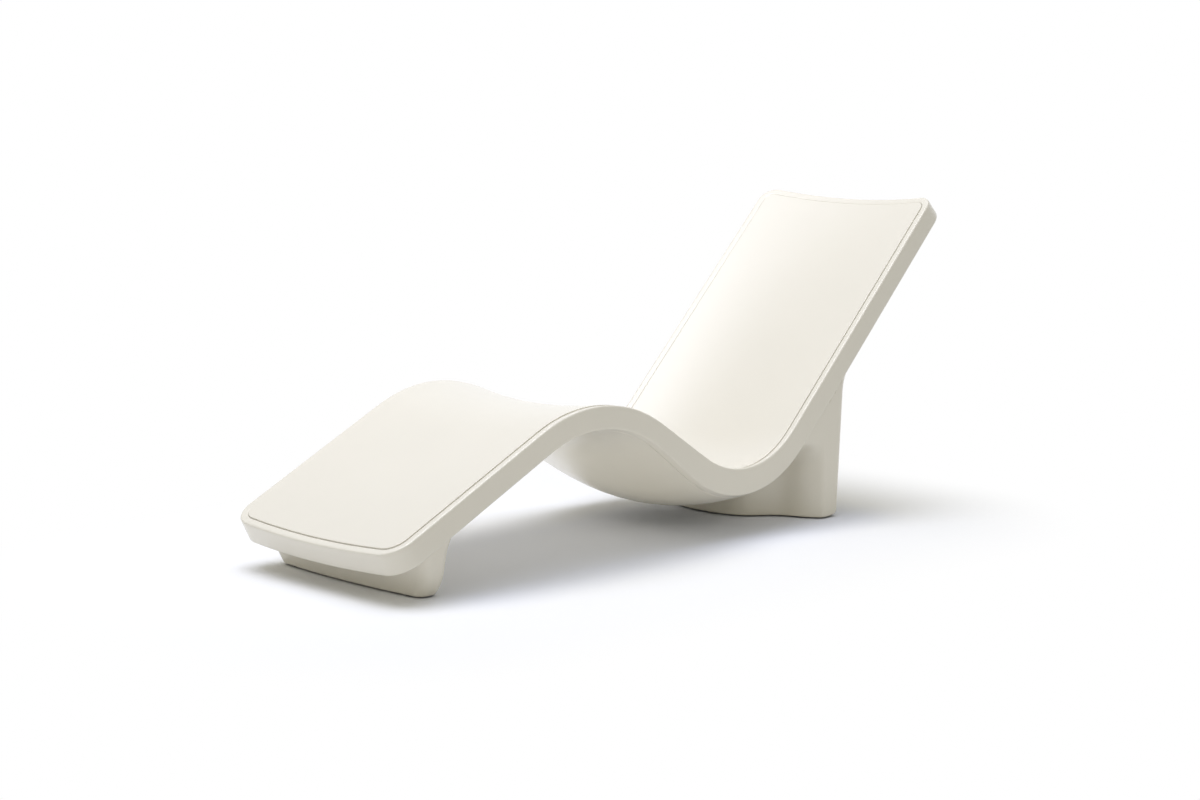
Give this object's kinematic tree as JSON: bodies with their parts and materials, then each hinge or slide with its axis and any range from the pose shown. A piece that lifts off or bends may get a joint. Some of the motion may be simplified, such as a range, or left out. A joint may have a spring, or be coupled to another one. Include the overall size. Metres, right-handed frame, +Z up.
{
  "type": "relaxation lounger",
  "caption": "Wave-shaped moulded relaxation lounger with a raised knee, a deep seat, a fixed reclined back and two hollow plinths on levelling glides.",
  "frame": {"origin": "centre of the bounding box at floor level", "axes": "+X along the length from the foot end to the head end, +Y to the side that is on the sitter's left, +Z up"},
  "size_m": [2.0275, 0.63, 0.8585],
  "materials": {
    "ivory_shell": "satin",
    "plywood": "matte",
    "foam": "matte",
    "steel": "satin",
    "sole_rubber": "matte",
    "sealant": "satin"
  },
  "bodies": {
    "bed": {"rim_band": "ivory_shell", "seat_panel": "ivory_shell", "underside_pan": "ivory_shell", "front_plinth": "ivory_shell", "rear_plinth": "ivory_shell", "panel_seal": "sealant", "left_stringer": "plywood", "right_stringer": "plywood", "foot_bulkhead": "plywood", "shin_bulkhead": "plywood", "knee_bulkhead": "plywood", "seat_bulkhead": "plywood", "lumbar_bulkhead": "plywood", "head_bulkhead": "plywood", "shin_core": "foam", "calf_core": "foam", "thigh_core": "foam", "lumbar_core": "foam", "shoulder_core": "foam", "front_fixing_blocks": "plywood", "rear_fixing_blocks": "plywood", "front_base_plate": "plywood", "rear_base_plate": "plywood", "front_plinth_bolts": "steel", "rear_plinth_bolts": "steel", "front_plinth_washers": "steel", "rear_plinth_washers": "steel", "front_base_plate_screws": "steel", "rear_base_plate_screws": "steel", "glide_inserts": "steel"},
    "front_left_foot": {"front_left_glide_sole": "sole_rubber", "front_left_glide_cup": "steel"},
    "front_left_stem": {"front_left_glide_stem": "steel"},
    "front_right_foot": {"front_right_glide_sole": "sole_rubber", "front_right_glide_cup": "steel"},
    "front_right_stem": {"front_right_glide_stem": "steel"},
    "rear_left_foot": {"rear_left_glide_sole": "sole_rubber", "rear_left_glide_cup": "steel"},
    "rear_left_stem": {"rear_left_glide_stem": "steel"},
    "rear_right_foot": {"rear_right_glide_sole": "sole_rubber", "rear_right_glide_cup": "steel"},
    "rear_right_stem": {"rear_right_glide_stem": "steel"}
  },
  "joints": [
    {"name": "front_left_glide_travel", "type": "slide", "parent": "bed", "child": "front_left_foot", "axis": [0, 0, -1], "range_m": [-0.003, 0.009]},
    {"name": "front_left_glide_turn", "type": "hinge", "parent": "front_left_foot", "child": "front_left_stem", "pos_m": [-0.86806, 0.215, 0.02], "axis": [0, 0, -1], "range_deg": [-725, 2165]},
    {"name": "front_right_glide_travel", "type": "slide", "parent": "bed", "child": "front_right_foot", "axis": [0, 0, -1], "range_m": [-0.003, 0.009]},
    {"name": "front_right_glide_turn", "type": "hinge", "parent": "front_right_foot", "child": "front_right_stem", "pos_m": [-0.86806, -0.215, 0.02], "axis": [0, 0, -1], "range_deg": [-725, 2165]},
    {"name": "rear_left_glide_travel", "type": "slide", "parent": "bed", "child": "rear_left_foot", "axis": [0, 0, -1], "range_m": [-0.003, 0.009]},
    {"name": "rear_left_glide_turn", "type": "hinge", "parent": "rear_left_foot", "child": "rear_left_stem", "pos_m": [0.53694, 0.262, 0.02], "axis": [0, 0, -1], "range_deg": [-725, 2165]},
    {"name": "rear_right_glide_travel", "type": "slide", "parent": "bed", "child": "rear_right_foot", "axis": [0, 0, -1], "range_m": [-0.003, 0.009]},
    {"name": "rear_right_glide_turn", "type": "hinge", "parent": "rear_right_foot", "child": "rear_right_stem", "pos_m": [0.53694, -0.262, 0.02], "axis": [0, 0, -1], "range_deg": [-725, 2165]}
  ],
  "couplings": [
    {"joint": "front_left_glide_turn", "follows": "front_left_glide_travel", "rad_per_m": 4188.8},
    {"joint": "front_right_glide_turn", "follows": "front_right_glide_travel", "rad_per_m": 4188.8},
    {"joint": "rear_left_glide_turn", "follows": "rear_left_glide_travel", "rad_per_m": 4188.8},
    {"joint": "rear_right_glide_turn", "follows": "rear_right_glide_travel", "rad_per_m": 4188.8}
  ]
}
